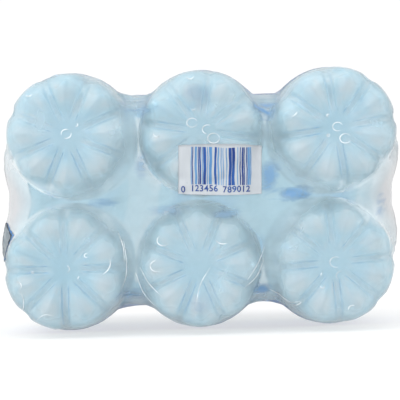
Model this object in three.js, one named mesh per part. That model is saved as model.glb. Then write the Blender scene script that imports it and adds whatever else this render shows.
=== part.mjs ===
// A six pack of half-litre water bottles in clear shrink film, lying on its long side.
//
// Everything is made in the pack's own frame, where the pack stands upright: X runs along the rows of
// three, Y across the two rows, and Z up the bottles from the plane that their feet stand in. The finished
// group is then laid down, so that the bases face -Y, the caps +Y, and the row at the pack's +Y side lies
// on the ground. Millimetres throughout.
import * as THREE from 'three';

// Driving dimensions.
const BOTTLE_RADIUS = 33;
const BOTTLE_HEIGHT = 208;
const COLUMN_PITCH = 66.8;
const ROW_PITCH = 66.6;
const COLUMNS = 3;
// How far the row at -Y has slid towards +X in the film, and the other row towards -X.
const ROW_SLIDE = 1.4;
const FEET = 8;
const WATER_GAP = 0.4;
const FILM_THICKNESS = 0.7;
const FILM_GAP = 0.6;

// Each bottle is turned by its own angle about its axis, in degrees: row at -Y first, from -X to +X in
// each row.
const BOTTLE_TURNS = [0, -13.5, -31, -22.5, 0, -27];

const FOOT_ANGLE = (2 * Math.PI) / FEET;
const radians = THREE.MathUtils.degToRad;
const smoothstep = THREE.MathUtils.smoothstep;

// Two radial sections through the base, [radius, height]: along the crown of a foot, and along the channel
// between two feet. They share their first and last points, so the base changes smoothly from one to the
// other round the bottle.
const FOOT_SECTION = [
  [0, 6.5], [5.5, 6.5], [11, 4.2], [15.5, 1], [20, 0], [24.8, 1.3], [28.2, 5], [29.8, 12], [31, 30],
];
const CHANNEL_SECTION = [
  [0, 6.5], [5.5, 6.5], [11, 7.2], [15.5, 7.2], [20, 7.4], [23.4, 9.5], [26.2, 14], [28.2, 20], [31, 30],
];
const CROWN_RADIUS = 20;
// The same two sections inside the wall, on the water's side.
const FOOT_CAVITY = [[0, 8], [7, 8], [15, 3.7], [20, 1.7], [25.4, 4.4], [28.2, 13]];
const CHANNEL_CAVITY = [[0, 8], [7, 8.2], [15, 8.8], [19.4, 9], [23.3, 12.4], [26.7, 20]];

// The bottle above its base, [radius, height]: a groove, a bumper, the label panel, a bumper, the shoulder
// and the neck.
const BODY_SECTION = [
  [30.9, 41], [BOTTLE_RADIUS, 56], [32.2, 62], [32.2, 106], [BOTTLE_RADIUS, 118],
  [32.2, 130], [28.4, 147], [21, 163], [14, 178], [12.9, 188], [12.9, 204],
];
const BODY_CAVITY = [[29.2, 36], [30.3, 128], [27, 145], [19.6, 161], [12.4, 177], [11.3, 204]];
const WATER_LEVEL = 201;

const CAP_RADIUS = 15;
const CAP_FOOT = 191.5;
const CAP_WALL = 1.5;
const CAP_TOP_THICKNESS = 3.4;
const CAP_BEVEL = 1.4;

// Angles round one foot, measured from the channel before it: the channel's floor, its two edges and the
// foot's crown.
const CHANNEL_EDGE = radians(5);
const OUTER_ANGLES = [0, CHANNEL_EDGE, FOOT_ANGLE / 2, FOOT_ANGLE - CHANNEL_EDGE];
const CAVITY_ANGLES = [0, FOOT_ANGLE / 2];
const ROUND_SIDES = 16;

// How far the surface has risen from a channel's floor, 0, to a foot's crown, 1, at a distance from the
// channel's line.
function footShare(distance) {
  return 0.6 * smoothstep(distance, 0.4, 2.4) + 0.4 * smoothstep(distance, 1, 8.5);
}

// A ring of points round the bottle's axis. pointAt gives [radius, height] for an angle from the nearest
// channel.
function footRing(anglesInFoot, pointAt) {
  const ring = [];
  for (let foot = 0; foot < FEET; foot += 1) {
    for (const inFoot of anglesInFoot) {
      const angle = foot * FOOT_ANGLE + inFoot;
      const fromChannel = Math.min(inFoot, FOOT_ANGLE - inFoot);
      const [radius, height] = pointAt(fromChannel);
      ring.push({ angle, point: polar(radius, angle, height) });
    }
  }
  return ring;
}

function roundRing(radius, height, sides = ROUND_SIDES) {
  const ring = [];
  for (let side = 0; side < sides; side += 1) {
    const angle = (side / sides) * 2 * Math.PI;
    ring.push({ angle, point: polar(radius, angle, height) });
  }
  return ring;
}

// The section's angle zero is a channel, and a channel lies half a foot before the +X side of the bottle.
function polar(radius, angle, height) {
  const turned = angle - FOOT_ANGLE / 2;
  return new THREE.Vector3(radius * Math.cos(turned), radius * Math.sin(turned), height);
}

function pole(height) {
  return [{ angle: 0, point: new THREE.Vector3(0, 0, height) }];
}

// A closed surface through a stack of rings, which may hold different numbers of points. Its ends are
// single points. The surface faces outward when the rings go upward, and also when they start upward
// inside a cavity if insideOut.
function loft(rings, insideOut = false) {
  const positions = [];
  const starts = rings.map((ring) => {
    const start = positions.length / 3;
    ring.forEach(({ point }) => positions.push(...point.toArray()));
    return start;
  });
  const faces = [];
  for (let level = 0; level + 1 < rings.length; level += 1) {
    const [lower, upper] = [rings[level], rings[level + 1]];
    const turnsOf = (ring, index) => 2 * Math.PI * Math.floor(index / ring.length);
    const angleOf = (ring, index) =>
      ring.length === 1 ? Infinity : ring[index % ring.length].angle + turnsOf(ring, index);
    const indexOf = (ring, start, index) => start + (index % ring.length);
    let [a, b] = [0, 0];
    const [aEnd, bEnd] = [lower.length === 1 ? 0 : lower.length, upper.length === 1 ? 0 : upper.length];
    while (a < aEnd || b < bEnd) {
      const lowerNow = indexOf(lower, starts[level], a);
      const upperNow = indexOf(upper, starts[level + 1], b);
      if (b >= bEnd || (a < aEnd && angleOf(lower, a + 1) <= angleOf(upper, b + 1))) {
        faces.push(lowerNow, indexOf(lower, starts[level], a + 1), upperNow);
        a += 1;
      } else {
        faces.push(lowerNow, indexOf(upper, starts[level + 1], b + 1), upperNow);
        b += 1;
      }
    }
  }
  return meshGeometry(positions, insideOut ? faces.reverse() : faces);
}

function meshGeometry(positions, faces) {
  const geometry = new THREE.BufferGeometry();
  geometry.setAttribute('position', new THREE.Float32BufferAttribute(positions, 3));
  geometry.setIndex(faces);
  geometry.computeVertexNormals();
  return geometry;
}

// Mixes the channel's point and the foot's point of one station by how far the angle is from the channel.
function baseRing(angles, channelPoint, footPoint) {
  const meanRadius = (channelPoint[0] + footPoint[0]) / 2;
  return footRing(angles, (fromChannel) => {
    const share = footShare(meanRadius * Math.sin(fromChannel));
    return [0, 1].map((axis) => THREE.MathUtils.lerp(channelPoint[axis], footPoint[axis], share));
  });
}

// A cavity's ring has only a channel point and a crown point for each foot.
function cavityRing(channelPoint, footPoint) {
  return footRing(CAVITY_ANGLES, (fromChannel) => (fromChannel === 0 ? channelPoint : footPoint));
}

// The clear bottle: its inner surface from the middle of the base up to the neck's lip, then down outside.
function bottleGeometry() {
  const rings = [pole(FOOT_CAVITY[0][1])];
  for (let station = 1; station < FOOT_CAVITY.length; station += 1) {
    rings.push(cavityRing(CHANNEL_CAVITY[station], FOOT_CAVITY[station]));
  }
  BODY_CAVITY.forEach(([radius, height]) => rings.push(roundRing(radius, height)));
  [...BODY_SECTION].reverse().forEach(([radius, height]) => rings.push(roundRing(radius, height)));
  for (let station = FOOT_SECTION.length - 1; station > 0; station -= 1) {
    rings.push(baseRing(OUTER_ANGLES, CHANNEL_SECTION[station], FOOT_SECTION[station]));
  }
  rings.push(pole(FOOT_SECTION[0][1]));
  return loft(rings, true);
}

// The water fills the cavity to just under the cap, a small gap inside the wall.
function waterGeometry() {
  const inside = ([radius, height]) => {
    const sideGap = radius > CROWN_RADIUS ? WATER_GAP : 0;
    return [radius - sideGap, height + WATER_GAP];
  };
  const rings = [pole(inside(FOOT_CAVITY[0])[1])];
  for (let station = 1; station < FOOT_CAVITY.length; station += 1) {
    rings.push(cavityRing(inside(CHANNEL_CAVITY[station]), inside(FOOT_CAVITY[station])));
  }
  BODY_CAVITY.slice(0, -1).forEach(([radius, height]) => rings.push(roundRing(radius - WATER_GAP, height)));
  const neckRadius = BODY_CAVITY[BODY_CAVITY.length - 1][0] - WATER_GAP;
  rings.push(roundRing(neckRadius, WATER_LEVEL), pole(WATER_LEVEL));
  return loft(rings);
}

// The screw cap, a cup over the neck.
function capGeometry() {
  const innerRadius = CAP_RADIUS - CAP_WALL;
  const innerTop = BOTTLE_HEIGHT - CAP_TOP_THICKNESS;
  return loft([
    pole(innerTop),
    roundRing(innerRadius, innerTop),
    roundRing(innerRadius, CAP_FOOT),
    roundRing(CAP_RADIUS, CAP_FOOT),
    roundRing(CAP_RADIUS, BOTTLE_HEIGHT - CAP_BEVEL),
    roundRing(CAP_RADIUS - CAP_BEVEL, BOTTLE_HEIGHT),
    pole(BOTTLE_HEIGHT),
  ]);
}

// Bottle axes in the pack's frame, row at -Y first.
const bottleSpots = [];
for (const side of [-1, 1]) {
  for (let column = 0; column < COLUMNS; column += 1) {
    bottleSpots.push({
      x: (column - (COLUMNS - 1) / 2) * COLUMN_PITCH - side * ROW_SLIDE,
      y: (side * ROW_PITCH) / 2,
      turn: radians(BOTTLE_TURNS[bottleSpots.length]),
    });
  }
}

// What the film lies on: a bottle's outline with its cap, [radius, height], without the hollows that film
// bridges.
const WRAPPED_OUTLINE = [
  [0, 0], ...FOOT_SECTION.slice(4), [BOTTLE_RADIUS, 56], [BOTTLE_RADIUS, 118], [32.2, 130], [28.4, 147],
  [21, 163], [CAP_RADIUS + 0.8, 177], [CAP_RADIUS + 0.8, BOTTLE_HEIGHT - CAP_BEVEL],
  [CAP_RADIUS - 0.6, BOTTLE_HEIGHT + 0.2], [0, BOTTLE_HEIGHT + 0.2],
];

// Moves a point out of one bottle's outline until it is at least clearance away. Returns true if it moved.
function pushOut(point, spot, clearance) {
  const reach = BOTTLE_RADIUS + clearance;
  if (Math.abs(point.x - spot.x) > reach || Math.abs(point.y - spot.y) > reach) return false;
  const radius = Math.hypot(point.x - spot.x, point.y - spot.y);
  if (radius > reach || point.z < -clearance || point.z > BOTTLE_HEIGHT + 1 + clearance) return false;
  let [nearest, nearestR, nearestZ] = [Infinity, 0, 0];
  let inside = false;
  for (let i = 0; i + 1 < WRAPPED_OUTLINE.length; i += 1) {
    const [r0, z0] = WRAPPED_OUTLINE[i];
    const [r1, z1] = WRAPPED_OUTLINE[i + 1];
    const along = (radius - r0) * (r1 - r0) + (point.z - z0) * (z1 - z0);
    const share = THREE.MathUtils.clamp(along / ((r1 - r0) ** 2 + (z1 - z0) ** 2), 0, 1);
    const r = r0 + share * (r1 - r0);
    const z = z0 + share * (z1 - z0);
    const distance = Math.hypot(radius - r, point.z - z);
    if (distance < nearest) [nearest, nearestR, nearestZ] = [distance, r, z];
    const crosses = z0 > point.z !== z1 > point.z;
    if (crosses && radius < r0 + ((point.z - z0) / (z1 - z0)) * (r1 - r0)) inside = !inside;
  }
  const signed = inside ? -nearest : nearest;
  if (signed >= clearance || nearest < 1e-6) return false;
  const shift = (clearance - signed) * (inside ? -1 : 1);
  const outR = ((radius - nearestR) / nearest) * shift;
  const outZ = ((point.z - nearestZ) / nearest) * shift;
  point.x += ((point.x - spot.x) / radius) * outR;
  point.y += ((point.y - spot.y) / radius) * outR;
  point.z += outZ;
  return true;
}

// The film starts as a loose sleeve of loops round the pack's X axis. Half of one loop, [y, z], from the
// middle of the base to the middle of the caps; the other half mirrors it.
const HALF_LOOP = [
  [0, 0], [14, 0], [28, 0], [42, 0], [53, 0], [61, 2], [65.5, 9], [67, 24], [67, 54], [67, 86], [67, 117],
  [65, 136], [60, 158], [54.5, 180], [51, 198], [49.8, 206], [46, 209.5], [33, 209.5], [16, 209], [0, 209],
];
// Loops at these distances from each bottle's axis. The film's lowest line on a bottle is a flat strip
// between two.
const LOOPS_ON_BOTTLE = [-14.5, -6, 6, 14.5];
// Loops round the pack's ends: where they start along X, and how much smaller they start.
const FREE_END_LOOPS = [[90, 1], [97.5, 0.97], [101, 0.84]];
// The oval hole in the film at each end of the pack, and how far the film is drawn in there between the
// two rows.
const HOLE = { x: 101, centreZ: 98, halfWidth: 36, halfHeight: 70, drawnIn: 4.5, drawnWidth: 24 };
const SLEEVE_SLACK = 7;
const TENSION_ROUND = 16;
const TENSION_ALONG = 0.7;
const TENSION_AT_ENDS = 3;
const RELAX_STEPS = 280;
const SETTLE_STEPS = 60;
const RELAX_RATE = 0.45;
// How far the weight of the pack flattens the film's lowest strips, and how far it may bulge past feet and
// caps.
const FLOOR_FLAT = 0.4;
const FEET_BULGE = 2.4;
const CAP_BULGE = 4;

const loopShape = [...HALF_LOOP, ...HALF_LOOP.slice(1, -1).reverse().map(([y, z]) => [-y, z])];
const LOOP_POINTS = loopShape.length;

// Where every loop starts along X, how much smaller it is, and whether it is held in its plane or is the
// hole's edge.
function loopStations() {
  const axes = Array.from({ length: COLUMNS }, (_, column) => (column - (COLUMNS - 1) / 2) * COLUMN_PITCH);
  const onBottles = axes.flatMap((axis) => LOOPS_ON_BOTTLE.map((offset) => axis + offset));
  const between = axes.slice(1).map((axis) => axis - COLUMN_PITCH / 2);
  const wholeLoops = [...onBottles, ...between].sort((a, b) => a - b);
  const heldWithin = axes[COLUMNS - 1] + BOTTLE_RADIUS / 3;
  const middle = wholeLoops.map((x) => ({ x, scale: 1, held: Math.abs(x) < heldWithin }));
  const right = FREE_END_LOOPS.map(([x, scale]) => ({ x, scale }));
  const left = right.map((loop) => ({ ...loop, x: -loop.x })).reverse();
  return [{ x: -HOLE.x, rim: true }, ...left, ...middle, ...right, { x: HOLE.x, rim: true }];
}

// How far the film has gone along X with the rows that it holds: their slide, and evenly less between them.
function slideAt(y) {
  return -ROW_SLIDE * THREE.MathUtils.clamp(y / (ROW_PITCH / 2), -1, 1);
}

// How far out along X the film may reach at a distance y from the plane between the rows.
function reachAt(y) {
  const fromMiddle = Math.min(Math.abs(y) / HOLE.drawnWidth, 1);
  return HOLE.x - (HOLE.drawnIn * (1 + Math.cos(Math.PI * fromMiddle))) / 2;
}

function rimPoint(x, y, z) {
  const angle = Math.atan2((z - HOLE.centreZ) / HOLE.halfHeight, y / HOLE.halfWidth);
  const rimY = HOLE.halfWidth * Math.cos(angle);
  const rimZ = HOLE.centreZ + HOLE.halfHeight * Math.sin(angle);
  return new THREE.Vector3(Math.sign(x) * reachAt(rimY) + slideAt(rimY), rimY, rimZ);
}

function looseSleeve(stations) {
  return stations.map(({ x, scale, rim }) =>
    loopShape.map(([y, z]) => {
      if (rim) return rimPoint(x, y, z);
      const fromCentre = new THREE.Vector2(y, z - HOLE.centreZ);
      fromCentre.multiplyScalar(scale * (1 + SLEEVE_SLACK / fromCentre.length()));
      return new THREE.Vector3(x + slideAt(fromCentre.x), fromCentre.x, fromCentre.y + HOLE.centreZ);
    }),
  );
}

// The four corners of one patch of the sleeve as two triangles, split along the diagonal that bulges
// further outward.
function patchTriangles(sleeve, s, i) {
  const next = (i + 1) % LOOP_POINTS;
  const [a, b, c, d] = [[s, i], [s, next], [s + 1, i], [s + 1, next]];
  const [pa, pb, pc, pd] = [a, b, c, d].map(([loop, point]) => sleeve[loop][point]);
  const round = new THREE.Vector3().subVectors(pb, pa).add(pd).sub(pc);
  const along = new THREE.Vector3().subVectors(pc, pa).add(pd).sub(pb);
  const bulge = new THREE.Vector3().addVectors(pa, pd).sub(pb).sub(pc);
  return bulge.dot(round.cross(along)) > 0 ? [[a, b, d], [a, d, c]] : [[a, b, c], [b, d, c]];
}

// Where on a triangle to look for a bottle, as shares of its three corners: along its sides and inside it.
const FACE_SAMPLES = [
  [0.75, 0.25, 0], [0.5, 0.5, 0], [0.25, 0.75, 0], [0, 0.75, 0.25], [0, 0.5, 0.5], [0, 0.25, 0.75],
  [0.25, 0, 0.75], [0.5, 0, 0.5], [0.75, 0, 0.25], [0.5, 0.25, 0.25], [0.25, 0.5, 0.25], [0.25, 0.25, 0.5],
];

// The flat triangles between the points have to clear the bottles too. Each point takes the largest push
// it is given.
function holdFacesOut(sleeve, clearance) {
  const pushes = sleeve.map((loop) => loop.map(() => new THREE.Vector3()));
  const middle = new THREE.Vector3();
  const push = new THREE.Vector3();
  for (let s = 0; s + 1 < sleeve.length; s += 1) {
    for (let i = 0; i < LOOP_POINTS; i += 1) {
      for (const corners of patchTriangles(sleeve, s, i)) {
        for (const shares of FACE_SAMPLES) {
          middle.set(0, 0, 0);
          corners.forEach(([loop, point], k) => middle.addScaledVector(sleeve[loop][point], shares[k]));
          push.copy(middle).negate();
          if (!bottleSpots.some((spot) => pushOut(middle, spot, clearance))) continue;
          push.add(middle);
          corners.forEach(([loop, point], k) => {
            const largest = pushes[loop][point];
            if (shares[k] > 0 && push.length() > largest.length()) largest.copy(push);
          });
        }
      }
    }
  }
  sleeve.forEach((loop, s) => loop.forEach((point, i) => point.add(pushes[s][i])));
}

// Pulls the sleeve tight, as heat shrinks it: every point moves towards its neighbours and is held out by
// the bottles.
function tightFilm() {
  const stations = loopStations();
  const sleeve = looseSleeve(stations);
  const clearance = FILM_GAP + FILM_THICKNESS / 2;
  const floor = ROW_PITCH / 2 + BOTTLE_RADIUS + clearance - FLOOR_FLAT;
  const last = sleeve.length - 1;
  const pullRound = sleeve.map((loop) =>
    loop.map((point, i) => TENSION_ROUND / point.distanceTo(loop[(i + 1) % LOOP_POINTS])),
  );
  const pullAlong = sleeve.slice(1).map((loop, s) => {
    const tension = stations[s].held && stations[s + 1].held ? TENSION_ALONG : TENSION_AT_ENDS;
    return loop.map((point, i) => tension / point.distanceTo(sleeve[s][i]));
  });
  const looseRims = [sleeve[0], sleeve[last]].map((loop) => loop.map((point) => point.x));
  for (let step = 0; step < RELAX_STEPS; step += 1) {
    // The pull fades out at the end, so that the last thing to act on the film is the bottles.
    const rate = RELAX_RATE * Math.min(1, (RELAX_STEPS - 1 - step) / SETTLE_STEPS);
    const before = sleeve.map((loop) => loop.map((point) => point.clone()));
    for (let s = 1; s < last; s += 1) {
      for (let i = 0; i < LOOP_POINTS; i += 1) {
        const previous = (i + LOOP_POINTS - 1) % LOOP_POINTS;
        const neighbours = [
          [before[s][(i + 1) % LOOP_POINTS], pullRound[s][i]],
          [before[s][previous], pullRound[s][previous]],
          [before[s - 1][i], pullAlong[s - 1][i]],
          [before[s + 1][i], pullAlong[s][i]],
        ];
        const goal = new THREE.Vector3();
        let total = 0;
        for (const [neighbour, weight] of neighbours) {
          goal.addScaledVector(neighbour, weight);
          total += weight;
        }
        const point = sleeve[s][i];
        point.lerp(goal.divideScalar(total), rate);
        for (const spot of bottleSpots) pushOut(point, spot, clearance);
      }
    }
    sleeve[0].forEach((point, i) => (point.x += rate * (looseRims[0][i] - point.x)));
    sleeve[last].forEach((point, i) => (point.x += rate * (looseRims[1][i] - point.x)));
    holdFacesOut(sleeve, clearance);
    sleeve.forEach((loop, s) =>
      loop.forEach((point, i) => {
        if (stations[s].rim) [point.y, point.z] = [before[s][i].y, before[s][i].z];
        const [reach, slide] = [reachAt(point.y), slideAt(point.y)];
        if (stations[s].held) point.x = stations[s].x + slide;
        if (reach < HOLE.x) point.x = THREE.MathUtils.clamp(point.x, slide - reach, slide + reach);
        point.y = Math.min(point.y, floor);
        point.z = THREE.MathUtils.clamp(point.z, -FEET_BULGE, BOTTLE_HEIGHT + CAP_BULGE);
      }),
    );
  }
  return sleeve;
}

// The shrink film: the tight sleeve given its thickness, with the two faces joined round the hole at each
// end.
function filmGeometry(sleeve) {
  const last = sleeve.length - 1;
  const floor = ROW_PITCH / 2 + BOTTLE_RADIUS + FILM_GAP + FILM_THICKNESS - FLOOR_FLAT;
  const positions = [];
  for (const side of [1, -1]) {
    sleeve.forEach((loop, s) =>
      loop.forEach((point, i) => {
        const round = loop[(i + 1) % LOOP_POINTS].clone().sub(loop[(i + LOOP_POINTS - 1) % LOOP_POINTS]);
        const along = sleeve[Math.min(s + 1, last)][i].clone().sub(sleeve[Math.max(s - 1, 0)][i]);
        const outward = round.cross(along).normalize();
        const shifted = point.clone().addScaledVector(outward, (side * FILM_THICKNESS) / 2);
        if (side > 0) shifted.y = Math.min(shifted.y, floor);
        positions.push(...shifted.toArray());
      }),
    );
  }
  const innerStart = sleeve.length * LOOP_POINTS;
  const outer = ([s, i]) => s * LOOP_POINTS + i;
  const inner = (corner) => outer(corner) + innerStart;
  const faces = [];
  for (let i = 0; i < LOOP_POINTS; i += 1) {
    for (let s = 0; s < last; s += 1) {
      for (const corners of patchTriangles(sleeve, s, i)) {
        faces.push(...corners.map(outer), ...corners.map(inner).reverse());
      }
    }
    const next = (i + 1) % LOOP_POINTS;
    const [a, b, c, d] = [[0, i], [0, next], [last, i], [last, next]];
    faces.push(outer(a), inner(a), outer(b), outer(b), inner(a), inner(b));
    faces.push(outer(c), outer(d), inner(c), outer(d), inner(d), inner(c));
  }
  return meshGeometry(positions, faces);
}

// The white printed panel for a bar code, on the film across the bases. It lies slightly turned.
const PANEL = { x: 10, y: -13.9, width: 41, height: 23.7, turn: radians(1.5), gap: 0.35, thickness: 0.3 };
const PANEL_COLUMNS = 8;
const PANEL_ROWS = 5;

function panelGeometry(filmMesh) {
  const caster = new THREE.Raycaster();
  const up = new THREE.Vector3(0, 0, 1);
  const positions = [];
  for (const lift of [PANEL.gap + PANEL.thickness, PANEL.gap]) {
    for (let row = 0; row <= PANEL_ROWS; row += 1) {
      for (let column = 0; column <= PANEL_COLUMNS; column += 1) {
        const across = (column / PANEL_COLUMNS - 0.5) * PANEL.width;
        const down = (row / PANEL_ROWS - 0.5) * PANEL.height;
        const x = PANEL.x + across * Math.cos(PANEL.turn) - down * Math.sin(PANEL.turn);
        const y = PANEL.y + across * Math.sin(PANEL.turn) + down * Math.cos(PANEL.turn);
        caster.set(new THREE.Vector3(x, y, -50), up);
        const [hit] = caster.intersectObject(filmMesh);
        positions.push(x, y, hit.point.z - lift);
      }
    }
  }
  const wide = PANEL_COLUMNS + 1;
  const back = wide * (PANEL_ROWS + 1);
  const faces = [];
  const quad = (a, b, c, d) => faces.push(a, b, c, a, c, d);
  for (let row = 0; row < PANEL_ROWS; row += 1) {
    for (let column = 0; column < PANEL_COLUMNS; column += 1) {
      const a = row * wide + column;
      quad(a, a + wide, a + wide + 1, a + 1);
      quad(back + a, back + a + 1, back + a + wide + 1, back + a + wide);
    }
    const [left, right] = [row * wide, row * wide + PANEL_COLUMNS];
    quad(left, left + back, left + back + wide, left + wide);
    quad(right, right + wide, right + back + wide, right + back);
  }
  for (let column = 0; column < PANEL_COLUMNS; column += 1) {
    const far = PANEL_ROWS * wide + column;
    quad(column, column + 1, column + 1 + back, column + back);
    quad(far, far + back, far + 1 + back, far + 1);
  }
  return meshGeometry(positions, faces);
}

// Materials.
const bottlePlastic = new THREE.MeshStandardMaterial({
  color: 0xc4dfee, roughness: 0.12, metalness: 0, transparent: true, opacity: 0.45,
});
const water = new THREE.MeshStandardMaterial({
  color: 0xaed3e8, roughness: 0.05, metalness: 0, transparent: true, opacity: 0.5,
});
const capPlastic = new THREE.MeshStandardMaterial({ color: 0x4f8fd0, roughness: 0.4, metalness: 0 });
const shrinkFilm = new THREE.MeshStandardMaterial({
  color: 0xe4edf3, roughness: 0.18, metalness: 0, transparent: true, opacity: 0.3, side: THREE.DoubleSide,
});
const whitePrint = new THREE.MeshStandardMaterial({ color: 0xdde5ec, roughness: 0.5, metalness: 0 });

function namedMesh(name, geometry, material) {
  const mesh = new THREE.Mesh(geometry, material);
  mesh.name = name;
  return mesh;
}

// The pack, standing upright in its own frame.
const pack = new THREE.Group();
const shapes = { bottle: bottleGeometry(), water: waterGeometry(), cap: capGeometry() };
bottleSpots.forEach((spot, index) => {
  const bottle = new THREE.Group();
  bottle.position.set(spot.x, spot.y, 0);
  bottle.rotation.z = spot.turn;
  bottle.add(
    namedMesh(`bottle_${index + 1}`, shapes.bottle, bottlePlastic),
    namedMesh(`water_${index + 1}`, shapes.water, water),
    namedMesh(`cap_${index + 1}`, shapes.cap, capPlastic),
  );
  pack.add(bottle);
});
const film = namedMesh('film', filmGeometry(tightFilm()), shrinkFilm);
pack.add(film);
pack.add(namedMesh('barcode_panel', panelGeometry(film), whitePrint));

// Laid on its side, with the origin under the middle of the whole pack.
const layingPack = new THREE.Group();
pack.rotation.x = -Math.PI / 2;
layingPack.add(pack);
layingPack.updateMatrixWorld(true);
const extent = new THREE.Box3().setFromObject(layingPack, true);
const middleOfPack = extent.getCenter(new THREE.Vector3());
pack.position.set(-middleOfPack.x, -middleOfPack.y, -extent.min.z);

export default layingPack;
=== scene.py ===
import math

import bpy
import numpy as np
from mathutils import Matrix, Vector
from mathutils.bvhtree import BVHTree

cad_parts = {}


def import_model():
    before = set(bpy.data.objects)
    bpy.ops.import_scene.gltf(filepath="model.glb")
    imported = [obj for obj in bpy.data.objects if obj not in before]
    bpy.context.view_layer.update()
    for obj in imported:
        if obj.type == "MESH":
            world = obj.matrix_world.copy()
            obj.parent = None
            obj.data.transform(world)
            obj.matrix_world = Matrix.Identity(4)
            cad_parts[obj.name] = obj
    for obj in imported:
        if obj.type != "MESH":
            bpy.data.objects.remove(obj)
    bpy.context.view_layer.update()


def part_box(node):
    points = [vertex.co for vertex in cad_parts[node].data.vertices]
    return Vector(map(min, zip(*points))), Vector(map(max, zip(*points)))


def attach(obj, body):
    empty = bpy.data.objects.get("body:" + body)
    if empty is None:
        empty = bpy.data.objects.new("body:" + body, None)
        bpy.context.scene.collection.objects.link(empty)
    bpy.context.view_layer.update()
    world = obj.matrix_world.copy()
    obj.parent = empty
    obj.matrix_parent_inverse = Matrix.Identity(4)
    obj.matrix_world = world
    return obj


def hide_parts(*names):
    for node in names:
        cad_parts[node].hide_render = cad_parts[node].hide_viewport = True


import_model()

# The pack's own frame, in millimetres: X runs along the rows of three, Y across the two rows with the upper
# row at -Y, and T up the bottles from the plane that their feet stand in.
RADIUS = 33.0
HEIGHT = 208.0
PITCH_X = 66.8
PITCH_Y = 66.6
ROW_SLIDE = 1.4
FEET = 8
FOOT_ANGLE = 2 * math.pi / FEET
# How far each bottle is turned about its own axis, in degrees.
TURNS = [0.0, -13.5, -31.0, -22.5, 0.0, -27.0]
BASE_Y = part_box("bottle_1")[0][1] * 1000
MIDDLE_Z = (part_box("bottle_1")[0][2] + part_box("bottle_4")[1][2]) * 500


def bottle_spots():
    """Each bottle's axis in X and Y, and its turn."""
    spots = []
    for side in (-1, 1):
        for column in (-1, 0, 1):
            turn = math.radians(TURNS[len(spots)])
            spots.append((column * PITCH_X - side * ROW_SLIDE, side * PITCH_Y / 2, turn))
    return spots


SPOTS = bottle_spots()


def world(points):
    """Points in the pack's frame, in mm, to the row's frame, in m."""
    points = np.asarray(points, float)
    out = np.empty_like(points)
    out[..., 0] = points[..., 0]
    out[..., 1] = BASE_Y + points[..., 2]
    out[..., 2] = MIDDLE_Z - points[..., 1]
    return out / 1000


def turned(points, angle):
    """Points turned about the axis that runs up a bottle."""
    c, s = math.cos(angle), math.sin(angle)
    out = np.array(points, float)
    out[..., 0] = c * points[..., 0] - s * points[..., 1]
    out[..., 1] = s * points[..., 0] + c * points[..., 1]
    return out


def smoothstep(x, low, high):
    t = np.clip((x - low) / (high - low), 0, 1)
    return t * t * (3 - 2 * t)


CURVE_STEPS = 24


def between(t, start, end, first, second):
    """The blend of two values at t, from the first at start to the second at end."""
    return (end - t) / (end - start) * first + (t - start) / (end - start) * second


def smooth_line(points, count):
    """A smooth curve through [radius, height] points (centripetal Catmull-Rom), in even steps of length."""
    p = np.asarray(points, float)
    p = np.vstack([2 * p[0] - p[1], p, 2 * p[-1] - p[-2]])
    out = []
    for i in range(1, len(p) - 2):
        four = p[i - 1:i + 3]
        knot = [0.0]
        for start, end in zip(four, four[1:]):
            knot.append(knot[-1] + max(np.linalg.norm(end - start), 1e-6) ** 0.5)
        t = np.linspace(knot[1], knot[2], CURVE_STEPS, endpoint=False)[:, None]
        once = [between(t, knot[k], knot[k + 1], four[k], four[k + 1]) for k in range(3)]
        twice = [between(t, knot[k], knot[k + 2], once[k], once[k + 1]) for k in range(2)]
        out.append(between(t, knot[1], knot[2], *twice))
    out.append(p[-2][None])
    line = np.vstack(out)
    length = np.concatenate([[0], np.cumsum(np.linalg.norm(np.diff(line, axis=0), axis=1))])
    at = np.linspace(0, length[-1], count)
    return np.stack([np.interp(at, length, line[:, k]) for k in range(2)], axis=1)


def plain_object(name, points, faces, material, smooth=True):
    """A mesh from points in metres."""
    mesh = bpy.data.meshes.new(name)
    mesh.from_pydata(points, [], [tuple(face) for face in faces])
    mesh.validate()
    mesh.update()
    mesh.polygons.foreach_set("use_smooth", [smooth] * len(mesh.polygons))
    mesh.materials.append(material)
    obj = bpy.data.objects.new(name, mesh)
    bpy.context.scene.collection.objects.link(obj)
    return obj


def mesh_object(name, points, faces, material, slot=None, smooth=True, spot=None):
    """A mesh that rides on the pack, from points in its frame or, with a spot, round a bottle's axis."""
    if spot:
        points = turned(points, spot[2] - FOOT_ANGLE / 2)
    corner = world([0.0, 0.0, 0.0]) if spot else 0
    obj = plain_object(name, (world(points) - corner).tolist(), faces, material, smooth)
    if spot:
        obj.location = world([spot[0], spot[1], 0.0])
    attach(obj, "root")
    return obj


def grid_faces(rows, columns, closed=False, start=0):
    """Quads between neighbouring points of a grid of rows, whose columns may close on themselves."""
    faces = []
    for r in range(rows - 1):
        for c in range(columns if closed else columns - 1):
            a = start + r * columns + c
            b = start + r * columns + (c + 1) % columns
            faces.append((a, a + columns, b + columns, b))
    return faces


def sheet_faces(rows, columns, closed=False):
    """Faces for the two sides of a sheet, whose points are a grid of its outer and then of its inner side."""
    outside = [face[::-1] for face in grid_faces(rows, columns, closed)]
    return outside + grid_faces(rows, columns, closed, rows * columns)


def ring(radius, angle, height):
    """Points round an axis. The radius and the height may differ from angle to angle."""
    return np.stack([radius * np.cos(angle), radius * np.sin(angle), height + 0 * angle], axis=1)


def joined(pieces):
    """Several sets of points and faces as one set."""
    points, faces = [], []
    for more_points, more_faces in pieces:
        start = len(points)
        points.extend(more_points)
        faces.extend(tuple(k + start for k in face) for face in more_faces)
    return points, faces


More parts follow.
